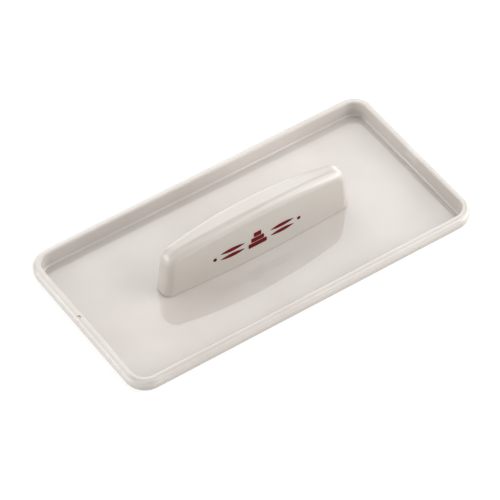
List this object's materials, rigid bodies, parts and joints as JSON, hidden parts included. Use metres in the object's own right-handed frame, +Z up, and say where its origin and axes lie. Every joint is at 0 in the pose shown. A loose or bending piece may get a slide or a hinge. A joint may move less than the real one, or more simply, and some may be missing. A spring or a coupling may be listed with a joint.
{
  "type": "icing smoother",
  "caption": "Icing smoother: a flat-bottomed plate with a raised, curved-under rim and an upright arched hollow grip bonded along its centre.",
  "frame": {"origin": "centre of the flat smoothing face, on its plane", "axes": "+X along the plate and the grip, +Y across the plate away from the printed side, +Z up out of the recess through the grip"},
  "size_m": [0.165, 0.0826, 0.0268],
  "materials": {
    "plate_plastic": "high gloss, warm off-white",
    "grip_plastic": "gloss, warm off-white",
    "adhesive": "cured clear-amber adhesive",
    "ink": "semi-matte dark red printing ink"
  },
  "bodies": {
    "root": {"smoothing_plate": "plate_plastic", "grip_shell": "grip_plastic", "adhesive_bead": "adhesive", "printed_ornament": "ink"}
  },
  "joints": []
}
